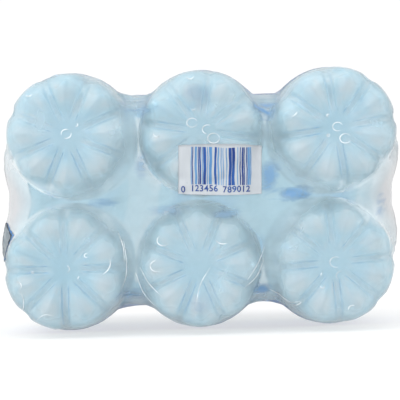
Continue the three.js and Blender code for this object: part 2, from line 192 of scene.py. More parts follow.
def closed_tube(rings, start, end):
    """Points and faces of a solid through rings of equal counts, closed at both ends by a point."""
    count = len(rings[0])
    points = np.vstack([np.concatenate(rings), start, end])
    faces = grid_faces(len(rings), count, closed=True)
    first = len(points) - 2
    last_ring = (len(rings) - 1) * count
    for i in range(count):
        j = (i + 1) % count
        faces.append((first, i, j))
        faces.append((first + 1, last_ring + j, last_ring + i))
    return points, faces


# The bottle: radial sections through a foot's crown and through the channel between two feet, then its body.
FOOT_SIDE = [(20, 0), (22.4, 0.25), (24.8, 1.3), (27, 3.1), (28.5, 5.6), (29.4, 8.8), (29.9, 12.5),
             (30.5, 20), (31, 30)]
FOOT = [(0.01, 6.5), (5.5, 6.5), (7.5, 6.1), (11, 4.2), (15.2, 1.0), (17.5, 0.2), *FOOT_SIDE,
        (31.1, 36), (31, 42)]
CHANNEL = [(0.01, 6.5), (5.5, 6.5), (7.5, 6.7), (11, 7.2), (15.2, 7.2), (17.4, 7.2), (19.6, 7.4),
           (21.6, 8.1), (23.4, 9.5), (24.9, 11.5), (26.2, 14), (27.4, 17.5), (28.4, 21.5), (29.4, 27),
           (30.2, 33), (31, 42)]
BODY_LOW = [(31, 42), (31.3, 46), (31.9, 50), (32.5, 54), (32.75, 57), (32.7, 60), (32.2, 62.5)]
SHOULDER = [(32.2, 130), (30.7, 139), (28.4, 147), (25, 155.5), (21, 163), (17.2, 170.5)]
BODY_HIGH = [(32.2, 106), (32.5, 109), (33, 114), (33, 119), *SHOULDER,
             (14.4, 177), (13.3, 183), (12.9, 188), (12.9, 204)]
STRAIGHT_RADIUS = 32.2
LABEL_STRAIGHT = (65, 103)
# A foot rises from a channel in a short step and a long slope: each one's share of the rise, from and to.
FOOT_STEP = (0.42, 0.9, 2.4)
FOOT_SLOPE = (0.58, 1.5, 9.5)
AROUND = 160
BASE_RINGS = 60
LOW_RINGS = 12
HIGH_RINGS = 32
WALL = 0.45
WATER_INTO_WALL = 0.2
WATER_TOP = 200
GATE_RADIUS = 2.5
GATE_RIDGE = 0.35
GATE_RIDGE_WIDTH = 0.45
GATE_BELOW = 8


def foot_share(distance):
    """How far the surface has risen from a channel's floor, 0, to a foot's crown, 1."""
    return sum(share * smoothstep(distance, low, high) for share, low, high in (FOOT_STEP, FOOT_SLOPE))


def from_channel(angle):
    """The angle from the nearest channel, for an angle of the section."""
    in_foot = angle % FOOT_ANGLE
    return np.minimum(in_foot, FOOT_ANGLE - in_foot)


def section_angles():
    """Angles round the bottle, closer together at the channels."""
    per_foot = AROUND // FEET
    u = np.arange(per_foot) / per_foot * 2 - 1
    share = (u + 0.5 * np.sin(math.pi * u) / math.pi + 1) / 2
    return np.concatenate([(foot + share) * FOOT_ANGLE for foot in range(FEET)])


def bottle_rings():
    """Rings of the bottle's outer surface round its axis, from the middle of the base to the neck's lip."""
    foot = smooth_line(FOOT, BASE_RINGS)[1:]
    channel = smooth_line(CHANNEL, BASE_RINGS)[1:]
    angle = section_angles()
    rings = []
    for (foot_r, foot_t), (channel_r, channel_t) in zip(foot, channel):
        share = foot_share((foot_r + channel_r) / 2 * np.sin(from_channel(angle)))
        r = channel_r + share * (foot_r - channel_r)
        t = channel_t + share * (foot_t - channel_t)
        rings.append(ring(r, angle, t))
    straight = [(STRAIGHT_RADIUS, t) for t in np.linspace(*LABEL_STRAIGHT, 4)]
    low, high = smooth_line(BODY_LOW, LOW_RINGS)[1:], smooth_line(BODY_HIGH, HIGH_RINGS)
    rings += [ring(r, angle, t) for r, t in np.vstack([low, straight, high])]
    rings = np.array(rings)
    # The small raised ring that the mould's gate leaves on the middle of the base.
    from_axis = np.hypot(rings[..., 0], rings[..., 1])
    ridge = GATE_RIDGE * np.exp(-((from_axis - GATE_RADIUS) / GATE_RIDGE_WIDTH) ** 2)
    rings[..., 2] -= np.where(rings[..., 2] < GATE_BELOW, ridge, 0)
    return rings


def outward(rings):
    """Unit normals of a grid of points whose rows are closed rings."""
    round_ring = np.roll(rings, -1, axis=1) - np.roll(rings, 1, axis=1)
    along = np.gradient(rings, axis=0)
    normal = np.cross(round_ring, along)
    return normal / np.maximum(np.linalg.norm(normal, axis=-1, keepdims=True), 1e-9)


# Materials. Each is a Principled shader whose colour, finish and relief come from noise and from place.
class Material:
    def __init__(self, name, **values):
        self.data = bpy.data.materials.new(name)
        self.data.use_nodes = True
        self.tree = self.data.node_tree
        self.shader = self.tree.nodes["Principled BSDF"]
        self.set(**values)

    def set(self, **values):
        for key, value in values.items():
            self.shader.inputs[key.replace("_", " ")].default_value = value

    def vector(self, operation, *inputs, output=0):
        made = self.node("ShaderNodeVectorMath", dict(enumerate(inputs)), operation=operation)
        return made.outputs[output]

    def node(self, kind, inputs=None, **settings):
        made = self.tree.nodes.new(kind)
        for key, value in settings.items():
            setattr(made, key, value)
        for key, value in (inputs or {}).items():
            if isinstance(value, bpy.types.NodeSocket):
                self.tree.links.new(value, made.inputs[key])
            else:
                made.inputs[key].default_value = value
        return made

    def math(self, operation, a, b=0.5, c=0.5):
        return self.node("ShaderNodeMath", {0: a, 1: b, 2: c}, operation=operation).outputs[0]

    def times(self, a, b):
        return self.math("MULTIPLY", a, b)

    def plus(self, a, b):
        return self.math("ADD", a, b)

    def minus(self, a, b):
        return self.math("SUBTRACT", a, b)

    def reach(self, a, b):
        """The length of a step of a one way and b at right angles to it."""
        return self.math("SQRT", self.plus(self.times(a, a), self.times(b, b)))

    def place(self):
        """Where on the object a point is, in metres: as a vector, and as X, Y and Z."""
        point = self.node("ShaderNodeTexCoord").outputs["Object"]
        split = self.node("ShaderNodeSeparateXYZ", {0: point})
        return point, split.outputs

    def noise(self, scale, detail=3.0, stretch=(1, 1, 1), rough=0.5, warp=0.0):
        point = self.node("ShaderNodeTexCoord").outputs["Object"]
        moved = self.node("ShaderNodeMapping", {"Vector": point, "Scale": stretch}).outputs[0]
        made = self.node("ShaderNodeTexNoise", {"Vector": moved, "Scale": scale, "Detail": detail,
                                                "Roughness": rough, "Distortion": warp})
        return made.outputs["Fac"]

    def ramp(self, value, *stops):
        """A value to a colour or a number, by [position, colour or number] stops."""
        made = self.node("ShaderNodeValToRGB", {0: value})
        elements = made.color_ramp.elements
        while len(elements) < len(stops):
            elements.new(0.5)
        for element, (position, colour) in zip(elements, stops):
            element.position = position
            element.color = (*colour, 1) if isinstance(colour, tuple) else (colour, colour, colour, 1)
        return made.outputs[0]

    def range(self, value, low, high, to_low=0.0, to_high=1.0):
        made = self.node("ShaderNodeMapRange", {0: value, 1: low, 2: high, 3: to_low, 4: to_high})
        return made.outputs[0]

    def mix(self, share, a, b):
        made = self.node("ShaderNodeMix", {0: share, 6: a, 7: b}, data_type="RGBA")
        return made.outputs[2]

    def link(self, value, socket):
        self.tree.links.new(value, self.shader.inputs[socket])

    def finish(self, scale, low, high):
        """Roughness that wanders between two values."""
        self.link(self.range(self.noise(scale, 2), 0.3, 0.7, low, high), "Roughness")

    def bump(self, height, distance, strength=1.0):
        made = self.node("ShaderNodeBump", {"Height": height, "Distance": distance, "Strength": strength})
        self.link(made.outputs[0], "Normal")


def pet_material(n, turn):
    """Pale blue PET, milky where it is thick round the base, worked out round the axis of bottle n.
    Highlights and shade on the base's relief are painted into its colour.
    """
    m = Material(f"pet_{n}", IOR=1.4)
    _, at = m.place()
    body = m.range(at[1], 0.030, 0.070)
    radius = m.reach(at[0], at[2])
    angle = m.plus(m.math("ARCTAN2", at[2], at[0]), turn - FOOT_ANGLE / 2)
    from_line = m.math("PINGPONG", angle, FOOT_ANGLE / 2)
    across = m.times(radius, m.math("SINE", from_line))

    # Painted shade: deep blue lines come and go along the channels' two edges. Painted highlights: the feet's
    # crowns and the channels' floors are paler.
    from_edge = m.math("ABSOLUTE", m.minus(across, 0.0016))
    edge = m.times(m.range(from_edge, 0.0001, 0.0006, 1, 0), m.range(radius, 0.0075, 0.0095))
    edge = m.times(edge, m.range(radius, 0.018, 0.030, 1, 0.35))
    edge_shade = m.times(edge, m.range(m.noise(95, 2), 0.46, 0.62, 0.25, 1))
    crown = m.times(m.range(radius, 0.013, 0.019), m.range(radius, 0.023, 0.028, 1, 0))
    crown = m.times(crown, m.range(from_line, 0.08, 0.26))
    crown = m.times(crown, m.range(m.noise(48, 2), 0.38, 0.60, 0.2, 0.95))
    strap = m.times(m.range(across, 0.0009, 0.0014, 1, 0), m.range(radius, 0.0075, 0.011, 0, 0.4))

    # Streaks run out from the middle of the base: the pale ones are painted highlights, the deep ones a
    # deeper blue.
    right = m.math("DIVIDE", at[0], m.math("MAXIMUM", radius, 0.001))
    up = m.math("DIVIDE", at[2], m.math("MAXIMUM", radius, 0.001))
    out = m.math("MULTIPLY_ADD", radius, 30, n * 7)
    ray = m.node("ShaderNodeCombineXYZ", {0: right, 1: up, 2: out}).outputs[0]
    fan = {"Vector": ray, "Scale": 3.4, "Detail": 4, "Roughness": 0.6}
    rays = m.node("ShaderNodeTexNoise", fan).outputs["Fac"]
    shown = m.times(m.range(radius, 0.006, 0.011), m.range(radius, 0.025, 0.031, 1, 0.3))
    pale = m.times(shown, m.range(rays, 0.52, 0.66, 0, 0.75))
    deep = m.times(shown, m.range(rays, 0.36, 0.47, 0.5, 0))

    mottle = m.noise(60, 2)
    colour = m.ramp(mottle, (0.3, (0.54, 0.84, 0.97)), (0.7, (0.62, 0.88, 0.99)))
    colour = m.mix(m.range(radius, 0.006, 0.0085, 0.5, 0), colour, (0.49, 0.80, 0.93, 1))
    colour = m.mix(deep, colour, (0.34, 0.70, 0.94, 1))
    # Painted highlights on the pale streaks, the feet's crowns and the channels' floors, and painted shade
    # along the channels' edges.
    colour = m.mix(pale, colour, (0.90, 0.89, 0.89, 1))
    colour = m.mix(crown, colour, (0.93, 0.91, 0.90, 1))
    colour = m.mix(strap, colour, (0.78, 0.90, 0.95, 1))
    colour = m.mix(edge_shade, colour, (0.08, 0.34, 0.66, 1))
    m.link(m.mix(body, colour, (0.88, 0.96, 0.99, 1)), "Base Color")
    m.link(m.range(body, 0, 1, 0.38, 0.95), "Transmission Weight")
    m.link(m.math("MULTIPLY_ADD", mottle, 0.05, m.range(body, 0, 1, 0.28, 0.05)), "Roughness")
    m.bump(m.noise(140, 2), 0.0003, 0.3)
    return m.data


def water_material():
    m = Material("clear_water", Roughness=0.0, IOR=1.333)
    m.set(Transmission_Weight=1.0)
    m.link(m.ramp(m.noise(30, 1), (0.3, (0.90, 0.97, 1.0)), (0.7, (0.96, 0.99, 1.0))), "Base Color")
    absorb = m.node("ShaderNodeVolumeAbsorption", {"Color": (0.40, 0.74, 0.95, 1), "Density": 3.0})
    m.tree.links.new(absorb.outputs[0], m.tree.nodes["Material Output"].inputs["Volume"])
    return m.data


# Where the film's print begins and ends above the feet, and begins again near the caps, in metres.
BAND_FROM = 0.058
BAND_TO = 0.136
BACK_FROM = 0.168
# Soft blue patches of painted shade on the film over the gaps round the bottles' bases, tinted like the blue
# labels seen through them: how far right of the pack's middle and above it they lie, how far they reach
# sideways and up, all in mm, and how strong they are.
GAP_SHADE_PATCHES = [
    (-29, 17.3, 4, 9, 0.50), (-35.7, -48.4, 8, 6, 0.60), (-48.8, -1.1, 9, 3, 0.50),
    (-15.3, -5.8, 11, 3.5, 0.45), (-3.6, -52.8, 9, 9, 0.30), (43.9, 1, 10.5, 4.2, 0.85),
    (89.2, -7.1, 3.5, 7, 0.60), (12, -8.1, 9, 3, 0.55), (29.2, -47.1, 5, 4, 0.90),
    (32.7, 45.3, 7, 7, 0.90), (-28.3, 45.4, 8, 5, 0.50), (-0.9, 51.2, 8, 7, 0.30),
    (33.8, 10.7, 6, 10, 0.75),
]
PATCH_DEPTH = 30.0


def gap_shade_patches(m, point):
    """How strongly the soft blue patches of painted gap shade show at a point of the film."""
    ragged = m.range(m.noise(110, 4, stretch=(0.7, 1, 1.6), warp=0.8), 0.3, 0.7, -0.5, 0.5)
    strongest = 0.0
    for right, above, reach_right, reach_up, strength in GAP_SHADE_PATCHES:
        middle = (right / 1000, BASE_Y / 1000, (MIDDLE_Z + above) / 1000)
        reach = (reach_right / 1000, PATCH_DEPTH / 1000, reach_up / 1000)
        scaled = m.vector("DIVIDE", m.vector("SUBTRACT", point, middle), reach)
        distance = m.vector("LENGTH", scaled, output="Value")
        share = m.range(m.plus(distance, ragged), 0.2, 1.0, strength, 0)
        strongest = m.math("MAXIMUM", share, strongest)
    return strongest


def film_material():
    """Milky clear shrink film with streaks of haze. Its print is plain: a band of blues along the two long
    sides and a pale blue field with deeper clouds over the caps. Over the bases it carries painted shade:
    soft blue patches, and a darker, bluer tint where it hangs free between the bottles, for the gaps and the
    blue labels seen through them."""
    m = Material("shrink_film", IOR=1.45)
    point, at = m.place()
    streaks = m.noise(38, 4, stretch=(1, 0.35, 1), rough=0.6, warp=0.6)
    cloud = m.noise(14, 2)
    haze = m.math("MULTIPLY_ADD", m.range(streaks, 0.35, 0.7), 0.10, m.range(cloud, 0.3, 0.7, 0.22, 0.28))

    from_middle = m.math("ABSOLUTE", m.minus(at[2], MIDDLE_Z / 1000))
    wave = m.times(m.math("SINE", m.times(at[0], 52.0)), 0.006)
    from_feet = m.minus(at[1], BASE_Y / 1000)

    # Where it hangs free between the bottles' bases it is hazier, and painted darker and bluer than at the
    # pack's two ends: painted shade of the gaps, tinted by the blue labels seen through them.
    sideways = m.math("PINGPONG", at[0], PITCH_X / 2000)
    upward = m.minus(from_middle, PITCH_Y / 2000)
    free = m.times(m.range(m.reach(sideways, upward), 0.028, 0.038), m.range(from_feet, 0.04, 0.08, 1, 0))
    at_end = m.range(m.math("ABSOLUTE", at[0]), 0.080, 0.092)
    patches = gap_shade_patches(m, point)
    haze = m.math("MULTIPLY_ADD", free, m.math("MULTIPLY_ADD", at_end, 0.22, 0.30), haze)
    haze = m.math("MAXIMUM", haze, m.times(patches, 1.2))

    along = m.plus(from_feet, wave)
    begins = m.range(along, BAND_FROM, BAND_FROM + 0.0008)
    ends = m.range(along, BAND_TO, BAND_TO + 0.0008, 1, 0)
    on_side = m.range(from_middle, 0.044, 0.046)
    band = m.times(m.times(begins, ends), on_side)
    depth = m.range(along, BAND_FROM, BAND_TO)
    blues = m.ramp(depth, (0.0, (0.03, 0.22, 0.62)), (0.30, (0.04, 0.30, 0.74)), (0.32, (0.75, 0.86, 0.95)),
                   (0.40, (0.75, 0.86, 0.95)), (0.42, (0.12, 0.46, 0.84)), (1.0, (0.28, 0.64, 0.90)))
    back = m.range(along, BACK_FROM, BACK_FROM + 0.001)
    clouds = m.ramp(m.noise(26, 1), (0.46, (0.44, 0.72, 0.86)), (0.60, (0.16, 0.45, 0.78)))
    clear = m.ramp(streaks, (0.3, (0.43, 0.60, 0.67)), (0.7, (0.55, 0.70, 0.77)))
    # Painted shade where the film hangs free between the bottles, greyer at the pack's two ends.
    clear = m.mix(free, clear, m.mix(at_end, (0.41, 0.58, 0.66, 1), (0.585, 0.60, 0.62, 1)))
    # Painted shade of the gaps between the bottles, in the soft blue patches.
    clear = m.mix(patches, clear, (0.10, 0.25, 0.47, 1))
    m.link(m.mix(back, m.mix(band, clear, blues), clouds), "Base Color")
    printed = m.math("MAXIMUM", band, back)
    m.link(m.math("MAXIMUM", haze, m.times(printed, 0.92)), "Alpha")
    m.link(m.times(printed, 0.75), "Transmission Weight")
    m.link(m.range(streaks, 0.3, 0.7, 0.14, 0.28), "Roughness")
    m.bump(m.noise(90, 4, stretch=(1, 0.4, 1), warp=1.0), 0.0006, 0.35)
    return m.data


def cap_material():
    m = Material("cap_plastic", IOR=1.49)
    m.link(m.ramp(m.noise(80, 3), (0.3, (0.045, 0.19, 0.50)), (0.7, (0.06, 0.24, 0.58))), "Base Color")
    m.finish(300, 0.30, 0.42)
    m.bump(m.noise(900, 2), 0.0001, 0.4)
    return m.data


LABEL = (70.0, 107.0)
LABEL_RADIUS = 32.4
LABEL_THICKNESS = 0.12
LABEL_ROWS = 8
LABEL_AROUND = 96


def label_material():
    """A plain printed label: a mid-blue field between two paler bands."""
    m = Material("label_print", IOR=1.45)
    _, at = m.place()
    along = m.range(m.minus(at[1], BASE_Y / 1000), LABEL[0] / 1000, LABEL[1] / 1000)
    wave = m.times(m.math("SINE", m.times(at[2], 95.0)), 0.05)
    blues = m.ramp(m.plus(along, wave), (0.0, (0.50, 0.72, 0.90)), (0.16, (0.50, 0.72, 0.90)),
                   (0.18, (0.04, 0.25, 0.66)), (0.72, (0.03, 0.17, 0.52)), (0.74, (0.60, 0.78, 0.92)))
    m.link(blues, "Base Color")
    m.finish(200, 0.28, 0.40)
    m.bump(m.noise(60, 3), 0.0004, 0.3)
    return m.data


def ink_material(name, dark, pale, uneven=0.0, gloss=0.5):
    """Ink on film: its colour varies with how thickly it lies."""
    m = Material(name, IOR=1.45, Specular_IOR_Level=gloss)
    patchy = m.noise(150, 3, stretch=(3.0, 1, 0.35))
    m.link(m.ramp(patchy, (0.36 - uneven, dark), (0.64 + uneven, pale)), "Base Color")
    m.finish(400, 0.35, 0.5)
    m.bump(m.noise(700, 2), 0.0001, 0.3)
    return m.data


def add_bottles():
    water, label, cap = water_material(), label_material(), cap_material()
    outer = bottle_rings()
    normal = outward(outer)
    inner = outer - normal * WALL
    fill = outer - normal * (WALL - WATER_INTO_WALL)
    fill = fill[fill[:, 0, 2] < WATER_TOP]
    # Above the base the inner wall and the water need fewer rings.
    keep = list(range(BASE_RINGS - 1)) + list(range(BASE_RINGS - 1, len(inner), 2))
    inner = inner[keep]
    fill = fill[[k for k in keep if k < len(fill)]]
    low, wall = FOOT[0][1], FOOT[0][1] + WALL
    shell = closed_tube(list(outer) + list(inner[::-1]), (0, 0, low), (0, 0, wall))
    body = closed_tube(list(fill), (0, 0, wall - WATER_INTO_WALL), (0, 0, fill[-1][0][2]))
    for n, spot in enumerate(SPOTS, start=1):
        axis = np.array([spot[0], spot[1], 0.0])
        pet = pet_material(n, spot[2])
        bottle = mesh_object(f"bottle_shell_{n}", *shell, pet, "bottle_plastic", spot=spot)
        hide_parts(f"bottle_{n}")
        contents = mesh_object(f"water_fill_{n}", *body, water, "water", spot=spot)
        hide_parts(f"water_{n}")
        add_label(n, axis, label)
        add_cap(n, axis, cap)


def add_label(n, axis, material):
    """A thin closed sleeve round the straight part of the bottle."""
    angle = np.linspace(0, 2 * math.pi, LABEL_AROUND, endpoint=False)
    heights = np.linspace(*LABEL, LABEL_ROWS)
    profile = [(LABEL_RADIUS + LABEL_THICKNESS, t) for t in heights]
    profile += [(LABEL_RADIUS, t) for t in heights[::-1]]
    points = np.concatenate([axis + ring(r, angle, t) for r, t in profile])
    # The last row of faces closes on the first ring.
    faces = grid_faces(len(profile) + 1, LABEL_AROUND, closed=True)
    faces = [tuple(k % len(points) for k in face) for face in faces]
    mesh_object(f"label_{n}", points, faces, material)


# The cap's section as radius, height and how deep its ribs are: inside it, then out round its foot, up the
# ring, the groove and the ribbed side, and over the top.
CAP_PROFILE = [(0.01, 204.6, 0), (13.2, 204.6, 0), (13.4, 204, 0), (13.4, 192, 0), (13.7, 191.6, 0),
               (14.6, 191.6, 0), (14.9, 192, 0), (14.9, 194.6, 0), (14.5, 195.2, 0), (14.5, 195.5, 0),
               (14.8, 196, 0.3), (14.9, 197, 1), (14.9, 205.6, 1), (14.6, 206.6, 0.4), (13.9, 207.5, 0),
               (12.8, 207.9, 0), (6, 208, 0), (0.01, 208, 0)]
CAP_RIBS = 60
CAP_RIB_DEPTH = 0.45
CAP_STEPS = 6


def add_cap(n, axis, material):
    """The screw cap: ribbed round its side, with a tamper ring below and a rounded top edge."""
    count = CAP_RIBS * CAP_STEPS
    angle = np.linspace(0, 2 * math.pi, count, endpoint=False)
    rib = 0.5 + 0.5 * np.cos(angle * CAP_RIBS)
    rings = []
    for r, t, ribbed in CAP_PROFILE[1:-1]:
        rings.append(axis + ring(r - CAP_RIB_DEPTH * ribbed * (1 - rib ** 0.7), angle, t))
    solid = closed_tube(rings, axis + [0, 0, CAP_PROFILE[0][1]], axis + [0, 0, CAP_PROFILE[-1][1]])
    cap = mesh_object(f"screw_cap_{n}", *solid, material, "cap_plastic")
    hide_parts(f"cap_{n}")


# The film. Half of one loop of the loose sleeve, [y, t], from the middle of the bases to the middle of the
# caps; the other half mirrors it.
HALF_LOOP = [(0, 0), (14, 0), (28, 0), (42, 0), (53, 0), (61, 2), (65.5, 9), (67, 24), (67, 54), (67, 86),
             (67, 117), (65, 136), (60, 158), (54.5, 180), (51, 198), (49.8, 206), (46, 209.5), (33, 209.5),
             (16, 209), (0, 209)]
LOOPS_ON_BOTTLE = (-14.5, -6, 6, 14.5)
FREE_END_LOOPS = [(90, 1), (97.5, 0.97), (101, 0.84)]
HOLE_X = 101.0
HOLE_MIDDLE = 98.0
HOLE_HALF_WIDTH = 36.0
HOLE_HALF_HEIGHT = 70.0
HOLE_DRAWN_IN = 4.5
HOLE_DRAWN_WIDTH = 24.0
SLACK = 7.0
TENSION_ROUND = 16.0
TENSION_ALONG = 0.7
TENSION_AT_ENDS = 3.0
FREE_LOOP_SHARE = 0.4
# Where, across a channel, the outline changes from the channel's to the feet's.
SCALLOP = (0.3, 9.3)
FEET_BULGE = 2.2
CAP_BULGE = 3.6
# For each level of detail: how many times the film is pulled, and how clear of the bottles it stays.
LEVELS = [(300, 0.6), (160, 0.5), (120, 0.48)]
PULL = 0.45
# At last it clings to what it nearly touches.
CLING = 0.35
CLING_REACH = 3.5
CLING_STEPS = 14
CLING_SMOOTHING = 0.2
FILM_HALF_THICKNESS = 0.1
FILM_REACH = 102.6

# What the film lies on: a bottle's outline over the feet and over the channels, and its body with the cap.
WRAPPED_BODY = [(32.6, 56), (33, 118), *SHOULDER, (15, 177), (15, 206.6), (13.6, 208), (0, 208)]
OVER_FEET = [(0, 0), *FOOT_SIDE, (31.1, 42)]
OVER_CHANNELS = [(0, 3), (14, 3), (19, 3.8), (22, 5.2), (23.8, 7), (25.5, 9), (26.9, 11.5), (28, 14.9),
                 (28.85, 18.8), (29.7, 24.9), (30.4, 32.1), (31.1, 42)]


def slide_at(y):
    return -ROW_SLIDE * np.clip(y / (PITCH_Y / 2), -1, 1)


def reach_at(y):
    """How far out along X the film may reach at a distance y from the plane between the rows."""
    from_middle = np.minimum(np.abs(y) / HOLE_DRAWN_WIDTH, 1)
    return HOLE_X - HOLE_DRAWN_IN * (1 + np.cos(math.pi * from_middle)) / 2


def film_stations():
    """Each loop's place along X, how much smaller it starts, or None at a hole's edge, and if it is held."""
    whole = [axis + offset for axis in (-PITCH_X, 0, PITCH_X) for offset in LOOPS_ON_BOTTLE]
    whole = sorted(whole + [-PITCH_X / 2, PITCH_X / 2])
    middle = [(x, 1, abs(x) < PITCH_X + RADIUS / 3) for x in whole]
    right = [(x, scale, False) for x, scale in FREE_END_LOOPS] + [(HOLE_X, None, False)]
    left = [(-x, scale, False) for x, scale, _ in reversed(right)]
    return left + middle + right


def loose_sleeve(stations):
    loop = np.array(HALF_LOOP + [(-y, t) for y, t in HALF_LOOP[1:-1][::-1]], float)
    sleeve = []
    for x, scale, _ in stations:
        if scale is None:
            angle = np.arctan2((loop[:, 1] - HOLE_MIDDLE) / HOLE_HALF_HEIGHT, loop[:, 0] / HOLE_HALF_WIDTH)
            y = HOLE_HALF_WIDTH * np.cos(angle)
            t = HOLE_MIDDLE + HOLE_HALF_HEIGHT * np.sin(angle)
            sleeve.append(np.stack([np.sign(x) * reach_at(y) + slide_at(y), y, t], axis=1))
            continue
        arm = loop - [0, HOLE_MIDDLE]
        arm = arm * scale * (1 + SLACK / np.linalg.norm(arm, axis=1, keepdims=True))
        sleeve.append(np.stack([x + slide_at(arm[:, 0]), arm[:, 0], arm[:, 1] + HOLE_MIDDLE], axis=1))
    return np.array(sleeve)


def nearest_on(outline, radius, height):
    """The nearest point of an outline to each [radius, height], its distance, and whether they are inside."""
    start = outline[:-1]
    step = outline[1:] - start
    along = (radius[:, None] - start[:, 0]) * step[:, 0] + (height[:, None] - start[:, 1]) * step[:, 1]
    share = np.clip(along / (step ** 2).sum(axis=1), 0, 1)
    near_r = start[:, 0] + share * step[:, 0]
    near_t = start[:, 1] + share * step[:, 1]
    distance = np.hypot(radius[:, None] - near_r, height[:, None] - near_t)
    best = distance.argmin(axis=1)
    row = np.arange(len(radius))
    crosses = (start[:, 1] > height[:, None]) != ((start + step)[:, 1] > height[:, None])
    rise = np.where(step[:, 1] == 0, 1, step[:, 1])
    at_height = start[:, 0] + (height[:, None] - start[:, 1]) / rise * step[:, 0]
    inside = (crosses & (radius[:, None] < at_height)).sum(axis=1) % 2 == 1
    return near_r[row, best], near_t[row, best], distance[row, best], inside


def push_out(points, clearance, scalloped, cling=0.0):
    """Moves points out of the bottles until they are clearance away, and by cling towards them if close."""
    over_feet = np.array(OVER_FEET + WRAPPED_BODY, float)
    over_channels = np.array(OVER_CHANNELS + WRAPPED_BODY, float)
    for x, y, turn in SPOTS:
        dx = points[..., 0] - x
        dy = points[..., 1] - y
        radius = np.hypot(dx, dy)
        height = points[..., 2]
        margin = CLING_REACH if cling else clearance
        near = (radius < RADIUS + margin) & (height > -margin) & (height < HEIGHT + margin)
        if not near.any():
            continue
        r, t = radius[near], height[near]
        push_r, push_t = outline_push(over_feet, r, t, clearance, cling)
        if scalloped:
            angle = np.arctan2(dy[near], dx[near]) - turn + FOOT_ANGLE / 2
            share = smoothstep(r * np.sin(from_channel(angle)), *SCALLOP)
            in_channel_r, in_channel_t = outline_push(over_channels, r, t, clearance, cling)
            push_r = share * push_r + (1 - share) * in_channel_r
            push_t = share * push_t + (1 - share) * in_channel_t
        scale = push_r / np.maximum(r, 1e-6)
        moved = points[near]
        moved[:, 0] += dx[near] * scale
        moved[:, 1] += dy[near] * scale
        moved[:, 2] += push_t
        points[near] = moved
    return points


def outline_push(outline, radius, height, clearance, cling):
    near_r, near_t, distance, inside = nearest_on(outline, radius, height)
    signed = np.where(inside, -distance, distance)
    closer = cling * (clearance - signed) * smoothstep(signed, CLING_REACH, clearance)
    shift = np.where(signed < clearance, clearance - signed, closer) * np.where(inside, -1, 1)
    distance = np.maximum(distance, 1e-6)
    return (radius - near_r) / distance * shift, (height - near_t) / distance * shift


def pull_tight(film, pull_round, pull_along, held, home, rims, steps, clearance, scalloped):
    """Moves every point towards its neighbours again and again, and holds it out of the bottles."""
    for _ in range(steps):
        before = np.roll(pull_round, 1, axis=1)
        goal = np.roll(film, -1, axis=1) * pull_round[..., None]
        goal += np.roll(film, 1, axis=1) * before[..., None]
        total = pull_round + before
        goal[:-1] += film[1:] * pull_along[..., None]
        goal[1:] += film[:-1] * pull_along[..., None]
        total[:-1] += pull_along
        total[1:] += pull_along
        moved = film + PULL * (goal / total[..., None] - film)
        for end in (0, -1):
            moved[end] = film[end]
            moved[end, :, 0] += PULL * (rims[end] - moved[end, :, 0])
        edge = moved[[0, -1]][..., 1:].copy()
        moved = push_out(moved, clearance, scalloped)
        moved[[0, -1], :, 1:] = edge
        slide = slide_at(moved[..., 1])
        moved[held, :, 0] = home[held][:, None] + slide[held]
        reach = np.where(reach_at(moved[..., 1]) < HOLE_X, reach_at(moved[..., 1]), np.inf)
        moved[..., 0] = np.clip(moved[..., 0], slide - reach, slide + reach)
        moved[..., 2] = np.clip(moved[..., 2], -FEET_BULGE, HEIGHT + CAP_BULGE)
        film = moved
    return film


def finer_round(values):
    """Puts a value halfway between each two neighbours round the loops."""
    out = np.empty((values.shape[0], values.shape[1] * 2) + values.shape[2:])
    out[:, ::2] = values
    out[:, 1::2] = (values + np.roll(values, -1, axis=1)) / 2
    return out


def finer_along(values):
    """Puts a value halfway between each two neighbours along X."""
    out = np.empty((values.shape[0] * 2 - 1,) + values.shape[1:])
    out[::2] = values
    out[1::2] = (values[:-1] + values[1:]) / 2
    return out


def tight_film():
    """The film's middle surface, a grid of loops: relaxed coarse first, then twice as fine each time."""
    stations = film_stations()
    film = loose_sleeve(stations)
    held = np.array([is_held for _, _, is_held in stations])
    home = np.array([x for x, _, _ in stations], float)
    pull_round = TENSION_ROUND / np.linalg.norm(np.roll(film, -1, axis=1) - film, axis=2)
    pull_round[~held] *= FREE_LOOP_SHARE
    tension = np.where(held[1:] & held[:-1], TENSION_ALONG, TENSION_AT_ENDS)
    pull_along = tension[:, None] / np.linalg.norm(film[1:] - film[:-1], axis=2)
    rims = np.stack([film[0, :, 0], film[-1, :, 0]])
    for level, (steps, clearance) in enumerate(LEVELS):
        if level:
            film = finer_along(finer_round(film))
            pull_round = finer_along(finer_round(pull_round))
            pull_along = np.repeat(finer_round(pull_along), 2, axis=0)
            rims = finer_round(rims)
            home = finer_along(home)
            both = held[1:] & held[:-1]
            held = np.insert(held, np.arange(1, len(held)), both)
        film = pull_tight(film, pull_round, pull_along, held, home, rims, steps, clearance, level > 0)
    film = finer_round(film)
    clearance = LEVELS[-1][1]
    for _ in range(CLING_STEPS):
        inner = film[1:-1]
        smooth = (np.roll(inner, 1, axis=1) + np.roll(inner, -1, axis=1) + film[2:] + film[:-2]) / 4
        film[1:-1] += CLING_SMOOTHING * (smooth - inner)
        film[1:-1] = push_out(film[1:-1], clearance, True, CLING)
    film[1:-1] = push_out(film[1:-1], clearance, True)
    film[..., 2] = np.clip(film[..., 2], -FEET_BULGE, HEIGHT + CAP_BULGE)
    return film


NEAR_BOTTLE = 20


